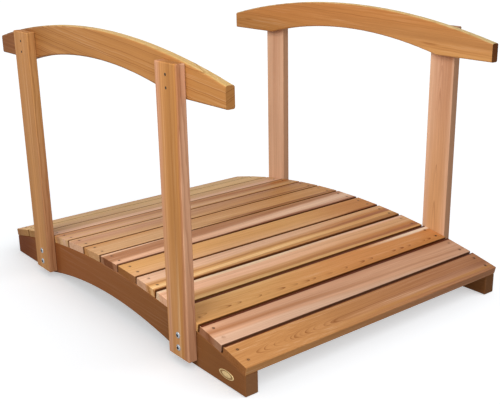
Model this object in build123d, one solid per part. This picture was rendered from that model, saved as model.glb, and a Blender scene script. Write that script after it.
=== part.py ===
from build123d import *
import math
import os

# Small arched garden footbridge of cedar, in millimetres.
# Two arched beams carry a deck of boards laid across them. Four flat posts stand against
# the beams' outer faces, and an arched handrail runs along the inside of each pair of posts.
# +X is along the walk, +Y across it, +Z up. The origin is on the ground, in the middle.

# Overall plan
BRIDGE_LENGTH = 1219.2
BRIDGE_WIDTH = 914.4

# Beams, whose flat ends are the bridge's feet
BEAM_THICKNESS = 38.0
BEAM_CROWN_HEIGHT = 132.0
BEAM_END_HEIGHT = 56.5
BEAM_ARCH_SPAN = 754.0
BEAM_ARCH_RISE = 47.0

# Deck boards
BOARD_COUNT = 13
BOARD_WIDTH = 88.9
BOARD_THICKNESS = 22.0
BOARD_EDGE_RADIUS = 2.0

# Posts
POST_SPACING = 750.0
POST_WIDTH = 88.0
POST_THICKNESS = 25.0
POST_BOTTOM = 18.0
POST_TOP = 743.0
POST_EDGE_RADIUS = 3.0

# Handrails
RAIL_LENGTH = 1128.0
RAIL_THICKNESS = 24.0
RAIL_BOTTOM = 662.0
RAIL_END_TOP = 713.0
RAIL_CROWN_TOP = 781.0
RAIL_ARCH_SPAN = 736.0
RAIL_ARCH_RISE = 44.0
RAIL_EDGE_RADIUS = 5.0

# Edges that aren't rounded have their sharp corner planed off to this width
ARRIS = 1.0
BEAM_ARRIS = 2.0

SIDES = {"left": -1, "right": 1}
ENDS = {"near": 1, "far": -1}


def arc_radius(span, rise):
    """Radius of the arc that rises by rise over a chord of length span."""
    return (span**2 / 4 + rise**2) / (2 * rise)


def arched_board(side, thickness, length, bottom, end_top, crown_top, arch_span, arch_rise):
    """Board on edge whose top is one arc and whose bottom has a shorter arch between two flat
    stretches. Its outer face is flush with the ends of the deck, on the given side."""
    half = length / 2
    foot = arch_span / 2
    with BuildSketch(Plane.XZ) as outline:
        with BuildLine():
            Line((-half, bottom), (-foot, bottom))
            ThreePointArc((-foot, bottom), (0, bottom + arch_rise), (foot, bottom))
            Line((foot, bottom), (half, bottom))
            Line((half, bottom), (half, end_top))
            ThreePointArc((half, end_top), (0, crown_top), (-half, end_top))
            Line((-half, end_top), (-half, bottom))
        make_face()
    outer_face = Pos(0, side * BRIDGE_WIDTH / 2, 0) * outline.sketch
    return extrude(outer_face, amount=side * thickness)


def long_edges(board):
    """The edges along the top and bottom of an arched board, without its upright end edges."""
    return board.faces().filter_by(Axis.Y).edges().filter_by(Axis.Z, reverse=True)


def beam(side):
    board = arched_board(
        side,
        BEAM_THICKNESS,
        BRIDGE_LENGTH,
        0,
        BEAM_END_HEIGHT,
        BEAM_CROWN_HEIGHT,
        BEAM_ARCH_SPAN,
        BEAM_ARCH_RISE,
    )
    return chamfer(long_edges(board) + board.faces().filter_by(Axis.X).edges(), BEAM_ARRIS)


def handrail(side):
    board = arched_board(
        side,
        RAIL_THICKNESS,
        RAIL_LENGTH,
        RAIL_BOTTOM,
        RAIL_END_TOP,
        RAIL_CROWN_TOP,
        RAIL_ARCH_SPAN,
        RAIL_ARCH_RISE,
    )
    return fillet(long_edges(board), RAIL_EDGE_RADIUS)


def deck_pitch():
    """Angle between neighbouring boards, seen from the centre of the beams' top arc. The lower
    outer edge of each end board comes flush with the beams' ends."""
    radius = arc_radius(BRIDGE_LENGTH, BEAM_CROWN_HEIGHT - BEAM_END_HEIGHT)
    half_board = BOARD_WIDTH / 2
    end_corner = math.asin(BRIDGE_LENGTH / 2 / math.hypot(radius, half_board))
    return (end_corner - math.atan2(half_board, radius)) / (BOARD_COUNT // 2)


def deck_board(number):
    """Board of the deck, counted from the far end, lying tangent to the beams' top arc."""
    radius = arc_radius(BRIDGE_LENGTH, BEAM_CROWN_HEIGHT - BEAM_END_HEIGHT)
    angle = (number - (BOARD_COUNT + 1) / 2) * deck_pitch()
    x = radius * math.sin(angle)
    z = BEAM_CROWN_HEIGHT - radius * (1 - math.cos(angle))
    board = Box(
        BOARD_WIDTH,
        BRIDGE_WIDTH,
        BOARD_THICKNESS,
        align=(Align.CENTER, Align.CENTER, Align.MIN),
    )
    board = fillet(board.faces().sort_by(Axis.Z)[-1].edges().filter_by(Axis.Y), BOARD_EDGE_RADIUS)
    board = chamfer(board.faces().sort_by(Axis.Z)[0].edges().filter_by(Axis.Y), ARRIS)
    board = chamfer(board.faces().filter_by(Axis.Y).edges(), ARRIS)
    return Pos(x, 0, z) * Rot(0, math.degrees(angle), 0) * board


def post(side, end):
    """Flat post against the outer faces of a beam and its handrail, clear of the ground."""
    block = Box(
        POST_WIDTH,
        POST_THICKNESS,
        POST_TOP - POST_BOTTOM,
        align=(Align.CENTER, Align.CENTER, Align.MIN),
    )
    top_edges = block.faces().sort_by(Axis.Z)[-1].edges()
    block = fillet(block.edges().filter_by(Axis.Z) + top_edges, POST_EDGE_RADIUS)
    block = chamfer(block.faces().sort_by(Axis.Z)[0].edges(), ARRIS)
    return Pos(end * POST_SPACING / 2, side * (BRIDGE_WIDTH + POST_THICKNESS) / 2, POST_BOTTOM) * block


pieces = {}
for side_name, side in SIDES.items():
    pieces[f"{side_name}_beam"] = beam(side)
    pieces[f"{side_name}_handrail"] = handrail(side)
    for end_name, end in ENDS.items():
        pieces[f"{side_name}_{end_name}_post"] = post(side, end)
for number in range(1, BOARD_COUNT + 1):
    pieces[f"deck_board_{number:02d}"] = deck_board(number)

os.makedirs("parts", exist_ok=True)
for name, solid in pieces.items():
    export_step(solid, f"parts/{name}.step")
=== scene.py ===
import math
import random
from dataclasses import dataclass, field

import bmesh
import bpy
from mathutils import Matrix, Vector

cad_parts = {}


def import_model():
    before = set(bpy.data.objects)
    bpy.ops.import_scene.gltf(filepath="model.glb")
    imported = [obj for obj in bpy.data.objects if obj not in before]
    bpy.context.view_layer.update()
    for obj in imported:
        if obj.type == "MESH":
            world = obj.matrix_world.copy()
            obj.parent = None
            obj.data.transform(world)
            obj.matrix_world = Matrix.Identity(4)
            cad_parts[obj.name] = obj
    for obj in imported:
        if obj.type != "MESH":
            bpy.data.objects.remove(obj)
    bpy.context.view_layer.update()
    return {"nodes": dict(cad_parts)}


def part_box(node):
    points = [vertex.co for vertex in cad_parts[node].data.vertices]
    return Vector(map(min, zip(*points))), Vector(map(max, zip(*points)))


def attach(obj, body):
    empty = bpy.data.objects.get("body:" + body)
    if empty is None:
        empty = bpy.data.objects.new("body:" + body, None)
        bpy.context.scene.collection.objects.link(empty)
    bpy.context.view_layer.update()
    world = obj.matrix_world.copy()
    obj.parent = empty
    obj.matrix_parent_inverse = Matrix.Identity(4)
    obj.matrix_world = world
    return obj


# The look of a small arched cedar footbridge: its wood, bolts, screws and one bare plate,
# on a white studio floor. Metres, in the bridge's own frame: +X is its near end, +Y its right.

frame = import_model()
random.seed(11)

SIDES = {"left": -1, "right": 1}
ENDS = {"near": 1, "far": -1}
X_AXIS, Y_AXIS, Z_AXIS = (1.0, 0.0, 0.0), (0.0, 1.0, 0.0), (0.0, 0.0, 1.0)

# Deck boards, counted from the far end
BOARD_COUNT = 13
BOARD_WIDTH = 0.0889
BOARD_THICKNESS = 0.022
# How much steeper an end board is than the line to its one neighbour
END_BOARD_TILT = 1.09


@dataclass
class Head:
    """Size of a domed round head with a hexagonal socket."""
    radius: float
    height: float
    socket: float
    depth: float


SCREW_HEAD = Head(radius=0.0036, height=0.0006, socket=0.0026, depth=0.0005)
BOLT_HEAD = Head(radius=0.0085, height=0.0028, socket=0.0078, depth=0.0026)
HEAD_CORNERS = 24
# Rings of the dome, as shares of its radius, and how the rim of the socket is eased
DOME_SHARES = (1.0, 0.97, 0.86, 0.66)
SOCKET_RIM = 1.08
SOCKET_EASE = 0.0002

# Board screws, from the middle of the board, with how far they stray and how deep they are sunk
BOARD_SCREW_ACROSS = 0.0213
BOARD_SCREW_ALONG = 0.4345
SCREW_STRAY = 0.0015
SCREW_SINK = 0.0002

# Screws and bolts in the posts, above the ground
POST_SCREW_HEIGHTS = (0.686, 0.716)
POST_BOLT_HEIGHTS = (0.044, 0.078)

# Bare oval plate on the left beam's near end. Each ring is a share of its half sizes and a
# height, and the bands between rings that are its groove are counted from the outside
PLATE_X = 0.5377
PLATE_Z = 0.030
PLATE_HALF_LENGTH = 0.0285
PLATE_HALF_HEIGHT = 0.0108
PLATE_CORNERS = 64
PLATE_RINGS = (
    (1.0, 0.0), (1.0, 0.0008), (0.97, 0.0011), (0.86, 0.0011),
    (0.83, 0.0006), (0.60, 0.0006), (0.57, 0.0009), (0.3, 0.0010),
)
GROOVE_BANDS = (3, 4)

# Camera, as the photograph was taken
IMAGE_WIDTH = 500
IMAGE_HEIGHT = 404
FOCAL_PIXELS = 866.9
CENTRE_PIXEL = (264.0, 216.9)
CAMERA_PLACE = (1.9941, -1.5130, 1.0436)
CAMERA_AZIMUTH = math.radians(51.117)
CAMERA_PITCH = math.radians(19.159)
CAMERA_ROLL = math.radians(-0.751)
SENSOR = 36.0

# Light: the same from all round, and softboxes on the bridge alone, each with its name, place,
# aim, width and power
AMBIENT = 0.44
SOFTBOXES = (
    ("left_softbox", (0.45, -1.7, 2.0), (0.0, -0.1, 0.2), 1.6, 45.0),
    ("near_fill", (1.7, -1.1, 0.7), (0.4, -0.4, 0.4), 0.5, 9.0),
)

# Floor, with a wide sky and a glow of its own, and its colours as it is seen and as it reflects
FLOOR_REACH = 30.0
FLOOR_SKY = 1.8
FLOOR_SKY_FROM = (1.4, 0.5, 1.0)
FLOOR_SKY_WIDTH = math.radians(80)
FLOOR_GLOW = 0.46
FLOOR_SEEN = (0.785, 0.812, 0.842, 1.0)
FLOOR_REFLECTED = (0.3, 0.3, 0.3, 1.0)
WHITE = (1.0, 1.0, 1.0, 1.0)


def srgb(red, green, blue):
    """Linear colour of an 8-bit display colour."""
    def linear(value):
        value /= 255
        return value / 12.92 if value <= 0.04045 else ((value + 0.055) / 1.055) ** 2.4
    return (linear(red), linear(green), linear(blue), 1.0)


# Tones of the wood, from pale sapwood to dark heartwood, and the painted shadow in a gap between
# boards
TONES = {
    "cream": srgb(240, 208, 172),
    "shell": srgb(238, 186, 150),
    "wheat": srgb(244, 198, 138),
    "bisque": srgb(236, 194, 162),
    "blush": srgb(226, 180, 146),
    "linen": srgb(214, 174, 146),
    "straw": srgb(226, 182, 122),
    "peach": srgb(219, 166, 116),
    "golden": srgb(216, 160, 98),
    "apricot": srgb(210, 142, 82),
    "sand": srgb(208, 160, 112),
    "honey": srgb(202, 144, 86),
    "pink": srgb(211, 160, 126),
    "rose": srgb(194, 141, 106),
    "orange": srgb(200, 134, 74),
    "tan": srgb(190, 134, 80),
    "amber": srgb(184, 126, 68),
    "caramel": srgb(174, 120, 66),
    "clay": srgb(178, 122, 83),
    "rust": srgb(172, 108, 66),
    "copper": srgb(170, 98, 44),
    "stain": srgb(149, 90, 49),
    "umber": srgb(131, 84, 47),
    "driftwood": srgb(145, 102, 68),
    "shadow": srgb(92, 36, 4),
}
# What a tone is multiplied by in the darkest grain and in the darkest painted shade of the marks,
# what it nears in the palest grain, and how fast
DARK_GRAIN_AND_SHADE = (0.50, 0.36, 0.26, 1.0)
PALE_GRAIN = (0.95, 0.80, 0.62, 1.0)
PALE_SHARE = 0.8
# Darker ends and edges are redder and paler ones greyer: each channel is multiplied by the
# brightness to this power
DARK_POWERS = (1.10, 1.45, 1.75)
PALE_POWERS = (0.5, 1.35, 1.9)

# How far the tones shift across the piece with each metre through it
TONE_SLANT = 0.4
# How often the wood's textures repeat in a metre, across the grain and along it
BROAD_STREAKS = (50.0, 1.2)
NARROW_STREAKS = (210.0, 2.5)
FIBRES = (420.0, 6.0)
FLECKS = (800.0, 30.0)
WANDER_REPEATS = (4.0, 4.0, 2.0)
WOBBLE_REPEATS = (40.0, 40.0, 14.0)
# How far the grain wobbles sideways
WOBBLE = 0.0010
# How many years the rings stray from even spacing, how often for each year, and the late wood
# of weak and strong years
YEARS_ASTRAY = 2.5
STRAYS_PER_YEAR = 0.3
YEAR_STRENGTHS = (0.1, 1.4)
# Darker ring in the wood round a screw, as a strength and as a share of the screw's radius
SCREW_DARKENING = 0.3
SCREW_DARKENING_REACH = 2.2
# Half the width over which the painted shadow strip next to a gap fades out
GAP_SHADOW_BLUR = 0.0015

# Brightness of the boards' long edges: painted shade for the dark of the gaps between boards
GAP_SHADE = 0.30

# Places of the colours among a mix node's inputs and outputs, where its number and vector
# sockets have the same names
FIRST_COLOUR, SECOND_COLOUR, MIXED_COLOUR = 6, 7, 2


def middle(node):
    """Middle of a CAD node's box."""
    low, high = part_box(node)
    return tuple((a + b) / 2 for a, b in zip(low, high))


def size(node):
    """Lengths of a CAD node's box along the three axes."""
    low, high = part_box(node)
    return tuple(b - a for a, b in zip(low, high))


class Graph:
    """A material's nodes, with one short call for each kind of node it needs. Wherever a call
    takes a value, that is another node's output or a plain number, vector or colour."""

    def __init__(self, name):
        self.material = bpy.data.materials.new(name)
        self.material.use_nodes = True
        self.nodes = self.material.node_tree.nodes
        self.links = self.material.node_tree.links
        self.shader = self.nodes["Principled BSDF"]

    def put(self, socket, value):
        if isinstance(value, bpy.types.NodeSocket):
            self.links.new(value, socket)
        else:
            socket.default_value = value

    def math(self, operation, *values, clamp=False):
        node = self.nodes.new("ShaderNodeMath")
        node.operation = operation
        node.use_clamp = clamp
        for socket, value in zip(node.inputs, values):
            self.put(socket, value)
        return node.outputs[0]

    def vector(self, operation, *values):
        node = self.nodes.new("ShaderNodeVectorMath")
        node.operation = operation
        for socket, value in zip(node.inputs, values):
            self.put(socket, value)
        scalar = operation in ("DOT_PRODUCT", "LENGTH", "DISTANCE")
        return node.outputs["Value" if scalar else "Vector"]

    def combine(self, x, y, z=0.0):
        node = self.nodes.new("ShaderNodeCombineXYZ")
        for socket, value in zip(node.inputs, (x, y, z)):
            self.put(socket, value)
        return node.outputs[0]

    def noise(self, place, scale=1.0, detail=2.0, roughness=0.5):
        node = self.nodes.new("ShaderNodeTexNoise")
        self.put(node.inputs["Vector"], place)
        node.inputs["Scale"].default_value = scale
        node.inputs["Detail"].default_value = detail
        node.inputs["Roughness"].default_value = roughness
        return node.outputs["Fac"]

    def line_noise(self, value, detail=1.0):
        """Noise along one number only."""
        node = self.nodes.new("ShaderNodeTexNoise")
        node.noise_dimensions = "1D"
        self.put(node.inputs["W"], value)
        node.inputs["Scale"].default_value = 1.0
        node.inputs["Detail"].default_value = detail
        return node.outputs["Fac"]

    def span(self, value, low, high, to_low=0.0, to_high=1.0):
        """Value carried smoothly from the range low to high into to_low to to_high."""
        node = self.nodes.new("ShaderNodeMapRange")
        node.interpolation_type = "SMOOTHSTEP"
        for name, number in zip(
            ("Value", "From Min", "From Max", "To Min", "To Max"),
            (value, low, high, to_low, to_high),
        ):
            self.put(node.inputs[name], number)
        return node.outputs["Result"]

    def mix(self, factor, first, second, blend="MIX"):
        node = self.nodes.new("ShaderNodeMix")
        node.data_type = "RGBA"
        node.blend_type = blend
        self.put(node.inputs["Factor"], factor)
        self.put(node.inputs[FIRST_COLOUR], first)
        self.put(node.inputs[SECOND_COLOUR], second)
        return node.outputs[MIXED_COLOUR]

    def ramp(self, value, stops):
        node = self.nodes.new("ShaderNodeValToRGB")
        node.color_ramp.interpolation = "EASE"
        elements = node.color_ramp.elements
        while len(elements) < len(stops):
            elements.new(0.5)
        for element, (position, colour) in zip(elements, stops):
            element.position = position
            element.color = colour
        self.put(node.inputs[0], value)
        return node.outputs["Color"]

    def bump(self, height, strength, distance):
        node = self.nodes.new("ShaderNodeBump")
        node.inputs["Strength"].default_value = strength
        node.inputs["Distance"].default_value = distance
        self.put(node.inputs["Height"], height)
        return node.outputs["Normal"]


@dataclass
class Look:
    """How one piece of wood looks. Lengths are metres.

    tones    tones across the width where the piece starts, as (place from 0 to 1, tone)
    later    the same where the piece ends, if they change along it
    change   where they start and stop changing, as shares of the length from its middle
    pith     centre of the tree, across and through, from the middle of the piece
    lean     slope of the grain against the length, across and through
    rise     how far the grain climbs towards the pith, and where along it starts and stops
    ring     width of a year's growth
    grain    strength of the dark late wood of each ring
    crest    how much stronger it is where the rings peak, and half the width of that strip
    streak   strength of the streaks along the grain
    wander   how far the grain wanders sideways
    end      brightness of the sawn ends
    end_tone their tone, if it is one of their own
    edges  brightness of the two narrow faces, at the start and at the end of the width: painted
    shade where under 1, a painted highlight where over 1 joints  width of the painted shadow strip
    along the two long edges, next to the gaps, at the start and at the end
    marks    soft marks, as (across, along, half width, half length, strength), which are dark,
             or pale where the strength is negative
    shine    strength of the reflections
    """
    tones: list
    later: list = None
    change: tuple = (-0.35, 0.35)
    pith: tuple = (-0.11, -0.05)
    lean: tuple = (0.0, 0.01)
    rise: tuple = (0.0, -0.5, 0.5)
    ring: float = 0.0030
    grain: float = 0.35
    crest: tuple = (0.0, 0.01)
    streak: float = 0.5
    wander: float = 0.004
    end: float = 0.8
    end_tone: str = None
    edges: tuple = (1.0, 1.0)
    joints: tuple = (0.0, 0.0)
    marks: list = field(default_factory=list)
    shine: float = 0.1


class Cedar(Graph):
    """Solid cedar, whose rings, streaks and tones come from the place inside the piece, so that
    they agree on all its faces. Across, through and along are the piece's own directions."""

    def __init__(self, node, look, across, through, along, width, length, screws=()):
        super().__init__(f"{node}_cedar")
        self.look = look
        self.seed = random.uniform(0, 40)
        source = self.nodes.new("ShaderNodeTexCoord")
        place = self.vector("SUBTRACT", source.outputs["Object"], middle(node))
        self.normal = source.outputs["Normal"]
        self.across = self.vector("DOT_PRODUCT", place, across)
        self.through = self.vector("DOT_PRODUCT", place, through)
        self.along = self.vector("DOT_PRODUCT", place, along)
        self.follow_grain()
        rings = self.rings()
        fibre = self.noise(self.stretched(*FIBRES), detail=4.0, roughness=0.65)
        dark = self.darkness(rings, fibre, screws)
        colour = self.tinted(self.tone(width, length), dark)
        colour = self.with_gap_shadows(colour, width, self.facing(through))
        ends = self.facing(along)
        if look.end_tone:
            colour = self.mix(ends, colour, self.tinted(TONES[look.end_tone], dark))
        colour = self.with_painted_edge_light(colour, across)
        colour = self.shaded(colour, ends, look.end)
        self.set_shader(colour, rings, fibre, ends)

    def follow_grain(self):
        """Sets the place across and through the grain, which leans, climbs and wanders."""
        look, along = self.look, self.along
        inside = self.combine(self.across, self.through, along)
        inside = self.vector("ADD", inside, (self.seed, 2 * self.seed, -self.seed))
        wander = self.noise(self.vector("MULTIPLY", inside, WANDER_REPEATS), detail=1.0)
        wobble = self.noise(self.vector("MULTIPLY", inside, WOBBLE_REPEATS), detail=2.0)
        across = self.math("SUBTRACT", self.across, self.math("MULTIPLY", along, look.lean[0]))
        across = self.math("ADD", across, self.span(wander, 0.2, 0.8, -look.wander, look.wander))
        self.across_grain = self.math("ADD", across, self.span(wobble, 0.2, 0.8, -WOBBLE, WOBBLE))
        height, start, stop = look.rise
        slope = self.math("MULTIPLY", along, look.lean[1])
        climb = self.math("ADD", slope, self.span(along, start, stop, 0.0, height))
        self.through_grain = self.math("SUBTRACT", self.through, climb)

    def stretched(self, across_repeats, along_repeats):
        """Place for a texture that is drawn out along the grain."""
        place = self.combine(self.across_grain, self.through_grain, self.along)
        place = self.vector("ADD", place, (self.seed, -self.seed, 2 * self.seed))
        return self.vector("MULTIPLY", place, (across_repeats, across_repeats, along_repeats))

    def rings(self):
        """Late wood of each year. Years differ in width and in strength, and a look's crest
        makes them stronger in a strip along the piece."""
        off_across = self.math("SUBTRACT", self.across_grain, self.look.pith[0])
        off_through = self.math("SUBTRACT", self.through_grain, self.look.pith[1])
        radius = self.vector("LENGTH", self.combine(off_across, off_through))
        years = self.math("DIVIDE", radius, self.look.ring)
        slowly = self.math("MULTIPLY", years, STRAYS_PER_YEAR)
        uneven = self.line_noise(self.math("ADD", slowly, self.seed), detail=2.0)
        years = self.math("ADD", years, self.math("MULTIPLY", uneven, YEARS_ASTRAY))
        season = self.math("FRACT", years)
        growth = self.math("POWER", season, 3.0)
        late = self.math("MULTIPLY", growth, self.span(season, 0.90, 1.0, 1.0, 0.0))
        year = self.math("ADD", self.math("FLOOR", years), self.seed)
        strength = self.span(self.line_noise(year, detail=0.0), 0.35, 0.65, *YEAR_STRENGTHS)
        rings = self.math("MULTIPLY", late, strength)
        more, half_width = self.look.crest
        peak = self.span(self.math("ABSOLUTE", off_across), half_width, 0.0, 1.0, 1.0 + more)
        return self.math("MULTIPLY", rings, peak)

    def darkness(self, rings, fibre, screws):
        """How dark the wood is, from its grain, its marks, some of which are painted shade, and
        round the screws: 0 is the tone itself, 1 the darkest, and under 0 is paler.
        """
        streak = self.look.streak
        broad = self.noise(self.stretched(*BROAD_STREAKS), detail=2.0)
        narrow = self.noise(self.stretched(*NARROW_STREAKS), detail=3.0, roughness=0.6)
        fleck = self.noise(self.stretched(*FLECKS), detail=1.0)
        dark = self.math("MULTIPLY", rings, self.look.grain)
        for value in (
            self.span(broad, 0.3, 0.7, -0.18 * streak, 0.18 * streak),
            self.span(narrow, 0.32, 0.68, -0.22 * streak, 0.40 * streak),
            self.span(fibre, 0.3, 0.7, -0.16 * streak, 0.20 * streak),
            self.span(fleck, 0.62, 0.74, 0.0, 0.30 * streak),
        ):
            dark = self.math("ADD", dark, value)
        for mark in self.look.marks:
            dark = self.math("ADD", dark, self.marked(*mark))
        for screw in screws:
            dark = self.math("ADD", dark, self.darkened_round_screws(*screw))
        return dark

    def marked(self, across, along, half_width, half_length, strength):
        """Darkness of one soft mark."""
        offset = self.combine(self.across_grain, self.along)
        offset = self.vector("SUBTRACT", offset, (across, along, 0.0))
        offset = self.vector("MULTIPLY", offset, (1 / half_width, 1 / half_length, 0.0))
        return self.span(self.vector("LENGTH", offset), 0.2, 1.0, strength, 0.0)

    def darkened_round_screws(self, across, along, radius):
        """Darkness round the four screws that lie at this place in the piece's four quarters."""
        off_across = self.math("SUBTRACT", self.math("ABSOLUTE", self.across), across)
        off_along = self.math("SUBTRACT", self.math("ABSOLUTE", self.along), along)
        distance = self.vector("LENGTH", self.combine(off_across, off_along))
        return self.span(distance, radius, SCREW_DARKENING_REACH * radius, SCREW_DARKENING, 0.0)

    def tone(self, width, length):
        """Broad tones across the width, slanting through the piece as its rings do."""
        shift = self.math("MULTIPLY", self.through, TONE_SLANT)
        slanted = self.math("ADD", self.across_grain, shift)
        position = self.math("ADD", self.math("DIVIDE", slanted, width), 0.5)
        first = self.ramp(position, [(stop, TONES[tone]) for stop, tone in self.look.tones])
        if not self.look.later:
            return first
        last = self.ramp(position, [(stop, TONES[tone]) for stop, tone in self.look.later])
        start, stop = self.look.change
        return self.mix(self.span(self.along, start * length, stop * length), first, last)

    def tinted(self, tone, dark):
        """Tone made darker or paler by the grain and the marks, some of which are painted shade.
        """
        deep = self.mix(1.0, tone, DARK_GRAIN_AND_SHADE, blend="MULTIPLY")
        colour = self.mix(self.math("MAXIMUM", dark, 0.0, clamp=True), tone, deep)
        pale = self.math("MULTIPLY", dark, -PALE_SHARE, clamp=True)
        return self.mix(pale, colour, PALE_GRAIN)

    def with_gap_shadows(self, colour, width, top):
        """Colour with the painted shadow strips next to the gaps, on the broad faces only."""
        for side, strip in zip((-1, 1), self.look.joints):
            if strip:
                toward = self.math("MULTIPLY", self.across, side)
                inner = width / 2 - strip
                strip_only = self.span(toward, inner - GAP_SHADOW_BLUR, inner + GAP_SHADOW_BLUR)
                where = self.math("MULTIPLY", strip_only, top)
                colour = self.mix(where, colour, TONES["shadow"])
        return colour

    def with_painted_edge_light(self, colour, across):
        """Colour with painted light on the two narrow faces: painted shade where they are darker,
        a painted highlight where they are paler.
        """
        toward = self.vector("DOT_PRODUCT", self.normal, across)
        for side, brightness in zip((-1, 1), self.look.edges):
            colour = self.shaded(colour, self.span(toward, 0.45 * side, 0.9 * side), brightness)
        return colour

    def facing(self, direction):
        """1 on the faces that look along the direction, either way, and 0 on the others."""
        toward = self.vector("DOT_PRODUCT", self.normal, direction)
        return self.span(self.math("ABSOLUTE", toward), 0.6, 0.95)

    def shaded(self, colour, where, brightness):
        """Colour made darker or paler in that place."""
        powers = DARK_POWERS if brightness < 1 else PALE_POWERS
        shade = tuple(brightness ** power for power in powers) + (1.0,)
        return self.mix(where, colour, self.mix(1.0, colour, shade, blend="MULTIPLY"))

    def set_shader(self, colour, rings, fibre, ends):
        """Gives the shader its colour, its shine and the fine relief of fibres and rings."""
        self.put(self.shader.inputs["Base Color"], colour)
        self.shader.inputs["Specular IOR Level"].default_value = self.look.shine
        rough = self.span(fibre, 0.25, 0.75, 0.46, 0.62)
        rough = self.math("ADD", rough, self.math("MULTIPLY", ends, 0.2))
        self.put(self.shader.inputs["Roughness"], rough)
        height = self.math("ADD", fibre, self.math("MULTIPLY", rings, 0.5))
        relief = self.bump(height, strength=0.35, distance=0.0005)
        self.put(self.shader.inputs["Normal"], relief)


BOARDS = {
    1: Look([(0.0, "sand"), (1.0, "straw")], end=0.64),
    2: Look([(0.0, "straw"), (1.0, "sand")], [(0.0, "straw"), (1.0, "straw")], end=0.60),
    3: Look([(0.0, "straw"), (0.3, "sand"), (0.55, "sand"), (0.75, "blush"), (1.0, "blush")],
            end=1.25),
    4: Look([(0.0, "honey"), (0.3, "clay"), (0.5, "sand"), (0.75, "pink"), (1.0, "sand")],
            [(0.0, "honey"), (0.14, "tan"), (0.37, "copper"), (0.52, "tan"), (0.78, "sand"),
             (1.0, "honey")],
            end=1.15),
    # Boards 5 to 8: the marks along their near edges are painted shade from the gap in front of
    # them
    5: Look([(0.0, "sand"), (0.4, "rose"), (1.0, "sand")],
            [(0.0, "clay"), (0.5, "tan"), (1.0, "honey")],
            end=0.95, end_tone="blush", marks=[(0.036, 0.27, 0.010, 0.36, 1.3)]),
    6: Look([(0.0, "honey"), (0.5, "sand"), (1.0, "sand")],
            [(0.0, "honey"), (0.5, "honey"), (1.0, "honey")],
            end=0.9, marks=[(0.035, 0.22, 0.010, 0.42, 1.6)]),
    7: Look([(0.0, "blush"), (0.06, "clay"), (0.52, "clay"), (0.70, "shell"), (1.0, "pink")],
            [(0.0, "tan"), (0.40, "clay"), (0.50, "pink"), (0.58, "bisque"), (0.86, "bisque"),
             (1.0, "pink")],
            lean=(-0.038, 0.01), end=0.46, joints=(0.0, 0.003),
            marks=[(0.050, 0.10, 0.020, 0.30, 2.0), (0.064, 0.42, 0.019, 0.30, 2.2)]),
    8: Look([(0.0, "golden"), (0.5, "golden"), (1.0, "peach")],
            [(0.0, "orange"), (0.5, "orange"), (1.0, "orange")],
            change=(0.12, 0.45), end=0.44, streak=0.3, joints=(0.0, 0.0015),
            marks=[(0.050, 0.45, 0.020, 0.22, 1.8)]),
    9: Look([(0.0, "blush"), (0.38, "blush"), (0.50, "peach"), (0.59, "tan"), (0.68, "golden"),
             (0.76, "wheat"), (0.84, "wheat"), (0.92, "honey"), (1.0, "honey")],
            [(0.0, "peach"), (0.32, "peach"), (0.44, "orange"), (0.56, "rust"), (0.64, "rust"),
             (0.74, "golden"), (0.84, "golden"), (0.92, "tan"), (1.0, "amber")],
            lean=(-0.014, 0.01), change=(-0.05, 0.42), end=0.80, joints=(0.0, 0.0025)),
    10: Look([(0.0, "cream"), (0.17, "cream"), (0.26, "shell"), (0.58, "shell"),
              (0.70, "peach"), (0.86, "tan"), (1.0, "straw")],
             [(0.0, "cream"), (0.17, "shell"), (0.26, "peach"), (0.52, "peach"),
              (0.66, "orange"), (0.86, "rust"), (1.0, "golden")],
             change=(-0.25, 0.45), end=0.88, streak=0.4, joints=(0.004, 0.0)),
    11: Look([(0.0, "straw"), (0.5, "golden"), (1.0, "golden")],
             [(0.0, "apricot"), (0.7, "apricot"), (1.0, "orange")],
             change=(-0.35, 0.15), pith=(0.021, -0.030), lean=(0.014, -0.028), ring=0.0009,
             grain=0.20, crest=(6.0, 0.008), end=1.15, streak=0.3, joints=(0.0075, 0.0),
             marks=[(-0.034, 0.45, 0.013, 0.34, -1.1)]),
    12: Look([(0.0, "rose"), (0.10, "pink"), (0.36, "pink"), (0.44, "rose"), (0.54, "clay"),
              (0.62, "rose"), (0.72, "pink"), (0.84, "linen"), (1.0, "linen")],
             [(0.0, "rose"), (0.36, "pink"), (0.54, "pink"), (0.62, "rose"), (0.72, "pink"),
              (0.82, "pink"), (1.0, "linen")],
             lean=(0.022, 0.01), end=0.52, streak=0.35, joints=(0.0080, 0.0)),
    13: Look([(0.0, "tan"), (1.0, "tan")],
             [(0.0, "clay"), (0.52, "clay"), (0.66, "rose"), (0.78, "rose"), (0.88, "tan"),
              (1.0, "clay")],
             pith=(0.012, -0.041), lean=(0.0, 0.0), rise=(0.0185, -0.46, -0.10), ring=0.0010,
             grain=0.35, crest=(1.5, 0.012), end=0.57, streak=0.4, joints=(0.0045, 0.0),
             marks=[(0.016, -0.08, 0.0014, 0.10, -0.5), (0.012, 0.08, 0.0014, 0.12, -0.45),
                    (0.020, 0.16, 0.0013, 0.12, -0.4), (0.007, -0.02, 0.0012, 0.10, -0.3),
                    (0.016, 0.06, 0.011, 0.24, -0.22), (0.0, 0.48, 0.06, 0.14, 0.25)]),
}
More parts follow.
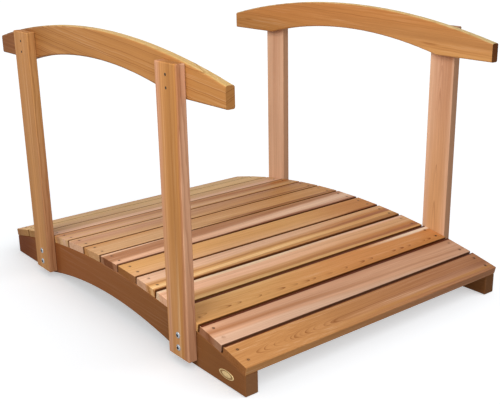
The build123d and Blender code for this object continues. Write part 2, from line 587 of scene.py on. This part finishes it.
POSTS = {
    "left_near_post": Look(
        [(0.0, "honey"), (0.12, "rose"), (0.30, "tan"), (0.50, "tan"), (0.56, "sand"),
         (0.62, "sand"), (0.68, "amber"), (0.86, "clay"), (0.95, "rose"), (1.0, "rose")],
        [(0.0, "rose"), (0.22, "tan"), (0.42, "caramel"), (0.54, "caramel"), (0.70, "caramel"),
         (0.82, "amber"), (0.90, "clay"), (0.96, "pink"), (1.0, "pink")],
        pith=(-0.10, 0.05), lean=(0.014, 0.0), change=(-0.40, 0.05), ring=0.0052, grain=0.50,
        streak=0.25, wander=0.001),
    # Its near side face is a little paler: painted light
    "left_far_post": Look(
        [(0.0, "tan"), (0.4, "honey"), (0.75, "tan"), (1.0, "clay")],
        [(0.0, "tan"), (0.5, "tan"), (1.0, "tan")],
        ring=0.0052, grain=0.45, wander=0.001, streak=0.35, edges=(1.0, 1.08)),
    # Both right posts have darker side faces: painted shade
    "right_near_post": Look(
        [(0.0, "blush"), (0.3, "peach"), (0.6, "peach"), (1.0, "blush")],
        [(0.0, "blush"), (0.3, "pink"), (0.8, "rose"), (1.0, "blush")],
        pith=(0.0, -0.03), lean=(0.0, -0.02), ring=0.0012, grain=0.12, crest=(3.0, 0.02),
        streak=0.3, edges=(0.80, 0.76), wander=0.002),
    "right_far_post": Look(
        [(0.0, "blush"), (1.0, "blush")],
        [(0.0, "blush"), (0.5, "pink"), (1.0, "blush")],
        streak=0.35, edges=(0.85, 0.80), wander=0.002),
}
# The rails' tops are paler than their other faces: a painted sheen
RAILS = {
    # Its first mark, over the far end beyond the far post, is painted shadow of that post
    "left_handrail": Look(
        [(0.0, "caramel"), (1.0, "caramel")],
        [(0.0, "tan"), (0.3, "caramel"), (1.0, "caramel")],
        lean=(-0.088, 0.01), pith=(-0.12, 0.05), change=(-0.5, -0.1), ring=0.0048, grain=0.75,
        streak=0.22, wander=0.002, end=0.98, edges=(1.0, 1.52),
        marks=[(0.0, -0.62, 0.3, 0.44, 0.9), (-0.062, -0.26, 0.02, 0.2, 0.25)]),
    # Its sawn near end is far darker than the left rail's: painted shade
    "right_handrail": Look(
        [(0.0, "amber"), (0.5, "orange"), (1.0, "orange")],
        [(0.0, "golden"), (0.3, "honey"), (0.4, "tan"), (1.0, "orange")],
        lean=(-0.03, 0.01), pith=(-0.1, 0.06), ring=0.0035, grain=0.35, streak=0.35,
        wander=0.002, end=0.36, edges=(1.0, 1.76),
        marks=[(-0.020, 0.345, 0.004, 0.05, 0.5), (-0.040, -0.492, 0.003, 0.03, 0.6)]),
}
BEAMS = {
    # Its marks on the two feet and just inside the posts are painted shade next to the posts
    "left_beam": Look(
        [(0.0, "stain"), (1.0, "stain")],
        [(0.0, "umber"), (1.0, "umber")],
        grain=0.1, streak=0.15, end=1.0, end_tone="driftwood", shine=0.04,
        marks=[(0.0, -0.60, 0.3, 0.20, 0.9), (0.0, -0.325, 0.3, 0.03, 0.3),
               (0.0, 0.325, 0.3, 0.02, 0.35), (0.0, 0.55, 0.3, 0.14, 0.2)]),
    # Its sawn near end is darker than the left beam's: painted shade
    "right_beam": Look(
        [(0.0, "stain"), (1.0, "stain")],
        [(0.0, "umber"), (1.0, "umber")],
        grain=0.1, streak=0.15, end=0.77, end_tone="driftwood", shine=0.04),
}


def board_node(number):
    return f"deck_board_{number:02d}"


def board_axes(number):
    """Directions onward over the board and up out of it, from its neighbours' places."""
    first, last = max(1, number - 1), min(BOARD_COUNT, number + 1)
    start, stop = middle(board_node(first)), middle(board_node(last))
    slope = math.atan2(start[2] - stop[2], stop[0] - start[0])
    tilt = slope * (1.0 if last - first == 2 else END_BOARD_TILT)
    return (math.cos(tilt), 0.0, -math.sin(tilt)), (math.sin(tilt), 0.0, math.cos(tilt))


def dress(node, material):
    """Gives a CAD node its finish."""
    slots = frame["nodes"][node].material_slots
    for slot in slots:
        slot.material = material


def dress_boards():
    screws = [(BOARD_SCREW_ACROSS, BOARD_SCREW_ALONG, SCREW_HEAD.radius)]
    for number, look in BOARDS.items():
        # Painted shade on the long edges that face a gap; the deck's two outer edges keep their
        # colour
        look.edges = (1.0 if number == 1 else GAP_SHADE, 1.0 if number == BOARD_COUNT else GAP_SHADE)
        node = board_node(number)
        onward, upward = board_axes(number)
        wood = Cedar(node, look, onward, upward, Y_AXIS, BOARD_WIDTH, size(node)[1], screws)
        dress(node, wood.material)


def dress_posts():
    for node, look in POSTS.items():
        wood = Cedar(node, look, X_AXIS, Y_AXIS, Z_AXIS, size(node)[0], size(node)[2])
        dress(node, wood.material)


def dress_rails_and_beams():
    for node, look in (RAILS | BEAMS).items():
        wood = Cedar(node, look, Z_AXIS, Y_AXIS, X_AXIS, size(node)[2], size(node)[0])
        dress(node, wood.material)


def metal(name, colour, roughness, wear):
    """Plated steel with fine scratches and a duller, darker wear in patches."""
    graph = Graph(name)
    source = graph.nodes.new("ShaderNodeTexCoord")
    cloud = graph.noise(source.outputs["Object"], scale=260.0, detail=4.0)
    dull = tuple(wear * part for part in colour[:3]) + (1.0,)
    worn = graph.mix(graph.span(cloud, 0.4, 0.7), colour, dull)
    graph.put(graph.shader.inputs["Base Color"], worn)
    graph.shader.inputs["Metallic"].default_value = 1.0
    rough = graph.span(cloud, 0.3, 0.7, roughness, roughness + 0.15)
    graph.put(graph.shader.inputs["Roughness"], rough)
    scratches = graph.noise(source.outputs["Object"], scale=1400.0, detail=2.0)
    relief = graph.bump(scratches, strength=0.15, distance=0.0001)
    graph.put(graph.shader.inputs["Normal"], relief)
    return graph.material


def stacked_mesh(name, loops):
    """Closed mesh of the bands between loops of as many points, with a face on the last loop
    and one on the first. The bands' faces come first, then those two."""
    mesh = bmesh.new()
    rows = [[mesh.verts.new(point) for point in loop] for loop in loops]
    for lower, upper in zip(rows, rows[1:]):
        for step in range(len(lower)):
            after = (step + 1) % len(lower)
            mesh.faces.new((lower[step], lower[after], upper[after], upper[step]))
    mesh.faces.new(rows[-1])
    mesh.faces.new(reversed(rows[0]))
    data = bpy.data.meshes.new(name)
    mesh.to_mesh(data)
    mesh.free()
    return data


def linked(name, data):
    """New object in the scene."""
    thing = bpy.data.objects.new(name, data)
    bpy.context.collection.objects.link(thing)
    return thing


def circle(corners):
    """Angles of so many corners, evenly round a circle."""
    return [2 * math.pi * step / corners for step in range(corners)]


def hexagon_radius(angle, flats):
    """Distance to the edge of a hexagon that is flats wide, in that direction."""
    turn = math.radians(60)
    return flats / 2 / math.cos((angle + turn / 2) % turn - turn / 2)


def head_loops(head):
    """Points of a domed head, from its rim over the dome and down into its socket."""
    angles = circle(HEAD_CORNERS)
    rings = []
    for share in DOME_SHARES:
        rings.append([(head.radius * share, head.height * math.sqrt(1 - share**2))] * HEAD_CORNERS)
    hexagon = [hexagon_radius(angle, head.socket) for angle in angles]
    rings.append([(SOCKET_RIM * reach, head.height) for reach in hexagon])
    rings.append([(reach, head.height - SOCKET_EASE) for reach in hexagon])
    rings.append([(reach, head.height - head.depth) for reach in hexagon])
    return [
        [
            (reach * math.cos(angle), reach * math.sin(angle), rise)
            for (reach, rise), angle in zip(ring, angles)
        ]
        for ring in rings
    ]


def headed(name, place, normal, head, material, inside):
    """Domed round head with a hexagonal socket, standing on the face at place. The socket's walls
    and floor take the inside material, a painted shadow.
    """
    loops = head_loops(head)
    data = stacked_mesh(name, loops)
    data.materials.append(material)
    data.materials.append(inside)
    dome_faces = (len(DOME_SHARES) - 1) * HEAD_CORNERS
    socket_floor = (len(loops) - 1) * HEAD_CORNERS
    for polygon in data.polygons:
        polygon.use_smooth = polygon.index < dome_faces
        in_socket = socket_floor - HEAD_CORNERS <= polygon.index <= socket_floor
        polygon.material_index = 1 if in_socket else 0
    piece = linked(name, data)
    turn = Vector(normal).to_track_quat("Z", "Y").to_matrix().to_4x4()
    spin = Matrix.Rotation(random.uniform(0, math.pi), 4, "Z")
    piece.matrix_world = Matrix.Translation(place) @ turn @ spin
    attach(piece, "root")


def add_board_screws():
    """Two screws in each end of each board."""
    for number in range(1, BOARD_COUNT + 1):
        centre = Vector(middle(board_node(number)))
        onward, upward = (Vector(axis) for axis in board_axes(number))
        for side_name, side in SIDES.items():
            for end_name, end in ENDS.items():
                stray = Vector((random.uniform(-1, 1), random.uniform(-1, 1), 0)) * SCREW_STRAY
                across = onward * (end * BOARD_SCREW_ACROSS)
                along = Vector((0, side * BOARD_SCREW_ALONG, 0))
                above = upward * (BOARD_THICKNESS / 2 - SCREW_SINK)
                name = f"board_screw_{number:02d}_{side_name}_{end_name}"
                spot = centre + across + along + stray + above
                headed(name, spot, upward, SCREW_HEAD, BRONZE, SOCKET_SHADE)


def add_post_fixings():
    """Two bolts low on each post's outer face and two screws high on it."""
    for side_name, side in SIDES.items():
        for end_name, end in ENDS.items():
            node = f"{side_name}_{end_name}_post"
            x = middle(node)[0]
            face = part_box(node)[1 if side > 0 else 0][1]
            outward = (0, side, 0)
            for kind, heights, head, material in (
                ("bolt", POST_BOLT_HEIGHTS, BOLT_HEAD, ZINC),
                ("post_screw", POST_SCREW_HEIGHTS, SCREW_HEAD, BRONZE),
            ):
                for place_name, height in zip(("lower", "upper"), heights):
                    name = f"{kind}_{side_name}_{end_name}_{place_name}"
                    headed(name, Vector((x, face, height)), outward, head, material, SOCKET_SHADE)


def oval_plate():
    """Thin oval with a raised rim, a groove inside it and a slightly crowned bare middle."""
    angles = circle(PLATE_CORNERS)
    loops = []
    for share, rise in PLATE_RINGS:
        length, height = share * PLATE_HALF_LENGTH, share * PLATE_HALF_HEIGHT
        loops.append([
            (length * math.cos(angle), height * math.sin(angle), rise)
            for angle in angles
        ])
    data = stacked_mesh("oval_plate", loops)
    data.materials.append(GOLD)
    data.materials.append(TARNISH)
    for polygon in data.polygons:
        polygon.use_smooth = True
        polygon.material_index = 1 if polygon.index // PLATE_CORNERS in GROOVE_BANDS else 0
    piece = linked("oval_plate", data)
    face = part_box("left_beam")[0][1]
    outward = Matrix.Rotation(math.pi / 2, 4, "X")
    piece.matrix_world = Matrix.Translation((PLATE_X, face, PLATE_Z)) @ outward
    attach(piece, "root")


def camera():
    """The photograph's camera."""
    data = bpy.data.cameras.new("camera")
    data.sensor_width = SENSOR
    data.lens = FOCAL_PIXELS / IMAGE_WIDTH * SENSOR
    data.shift_x = (IMAGE_WIDTH / 2 - CENTRE_PIXEL[0]) / IMAGE_WIDTH
    data.shift_y = (CENTRE_PIXEL[1] - IMAGE_HEIGHT / 2) / IMAGE_WIDTH
    thing = linked("camera", data)
    turn = Matrix.Rotation(CAMERA_AZIMUTH, 4, "Z")
    tip = Matrix.Rotation(math.pi / 2 - CAMERA_PITCH, 4, "X")
    roll = Matrix.Rotation(CAMERA_ROLL, 4, "Z")
    thing.matrix_world = Matrix.Translation(CAMERA_PLACE) @ turn @ tip @ roll
    bpy.context.scene.camera = thing


def softbox(name, place, target, width, power):
    """Square lamp that leaves the floor out."""
    data = bpy.data.lights.new(name, "AREA")
    data.shape = "SQUARE"
    data.size = width
    data.energy = power
    thing = linked(name, data)
    aim = (Vector(target) - Vector(place)).to_track_quat("-Z", "Y")
    thing.matrix_world = Matrix.Translation(place) @ aim.to_matrix().to_4x4()
    thing.visible_camera = False
    thing.light_linking.receiver_collection = bpy.data.collections["bridge_light"]


def floor_sky():
    """Wide white sky that shines on the floor alone, so that the bridge's shadow is soft."""
    data = bpy.data.lights.new("floor_sky", "SUN")
    data.angle = FLOOR_SKY_WIDTH
    data.energy = FLOOR_SKY
    thing = linked("floor_sky", data)
    aim = Vector(FLOOR_SKY_FROM).to_track_quat("Z", "Y")
    thing.matrix_world = aim.to_matrix().to_4x4()
    thing.light_linking.receiver_collection = bpy.data.collections["floor_light"]


def divide_light(floor):
    """Makes the floor's own light collection, and one for the lamps that leave the floor out."""
    for name, state in (("floor_light", "INCLUDE"), ("bridge_light", "EXCLUDE")):
        collection = bpy.data.collections.new(name)
        collection.objects.link(floor)
        collection.collection_objects[0].light_linking.link_state = state


def world():
    """Even white light all round. What is seen directly or mirrored is plain white."""
    surroundings = bpy.data.worlds.new("studio")
    bpy.context.scene.world = surroundings
    surroundings.use_nodes = True
    nodes, links = surroundings.node_tree.nodes, surroundings.node_tree.links
    nodes.clear()
    mixed = nodes.new("ShaderNodeMixShader")
    links.new(seen_directly(nodes, links), mixed.inputs[0])
    for socket, strength in zip(list(mixed.inputs)[1:], (AMBIENT, 1.0)):
        light = nodes.new("ShaderNodeBackground")
        light.inputs["Color"].default_value = WHITE
        light.inputs["Strength"].default_value = strength
        links.new(light.outputs[0], socket)
    out = nodes.new("ShaderNodeOutputWorld")
    links.new(mixed.outputs[0], out.inputs[0])


def seen_directly(nodes, links):
    """1 for what the camera sees, itself or in a mirror or through glass, and 0 for light."""
    path = nodes.new("ShaderNodeLightPath")
    total = path.outputs["Is Camera Ray"]
    for name in ("Is Glossy Ray", "Is Transmission Ray"):
        more = nodes.new("ShaderNodeMath")
        more.operation = "MAXIMUM"
        links.new(total, more.inputs[0])
        links.new(path.outputs[name], more.inputs[1])
        total = more.outputs[0]
    return total


def floor():
    """White floor that keeps the bridge's soft shadow and runs out into the white behind."""
    data = bpy.data.meshes.new("floor")
    signs = ((-1, -1), (1, -1), (1, 1), (-1, 1))
    corners = [(x * FLOOR_REACH, y * FLOOR_REACH, 0) for x, y in signs]
    data.from_pydata(corners, [], [(0, 1, 2, 3)])
    thing = linked("floor", data)
    graph = Graph("white_floor")
    seen = seen_directly(graph.nodes, graph.links)
    graph.put(graph.shader.inputs["Base Color"], graph.mix(seen, FLOOR_REFLECTED, FLOOR_SEEN))
    graph.shader.inputs["Roughness"].default_value = 1.0
    graph.shader.inputs["Specular IOR Level"].default_value = 0.0
    graph.shader.inputs["Emission Color"].default_value = WHITE
    graph.put(graph.shader.inputs["Emission Strength"], graph.math("MULTIPLY", seen, FLOOR_GLOW))
    data.materials.append(graph.material)
    return thing


dress_boards()
dress_posts()
dress_rails_and_beams()

ZINC = metal("zinc", srgb(172, 178, 184), roughness=0.32, wear=0.75)
# Dark metal for the walls and floor of the heads' sockets: painted shadow of the recess
SOCKET_SHADE = metal("painted_socket_shadow", srgb(52, 46, 42), roughness=0.6, wear=0.6)
BRONZE = metal("bronze_screw", srgb(92, 74, 58), roughness=0.5, wear=0.6)
GOLD = metal("pale_gold", srgb(214, 186, 134), roughness=0.38, wear=0.85)
TARNISH = metal("tarnished_gold", srgb(150, 118, 76), roughness=0.5, wear=0.8)
add_board_screws()
add_post_fixings()
oval_plate()

divide_light(floor())
camera()
world()
for values in SOFTBOXES:
    softbox(*values)
floor_sky()
bpy.context.scene.view_settings.view_transform = "Standard"
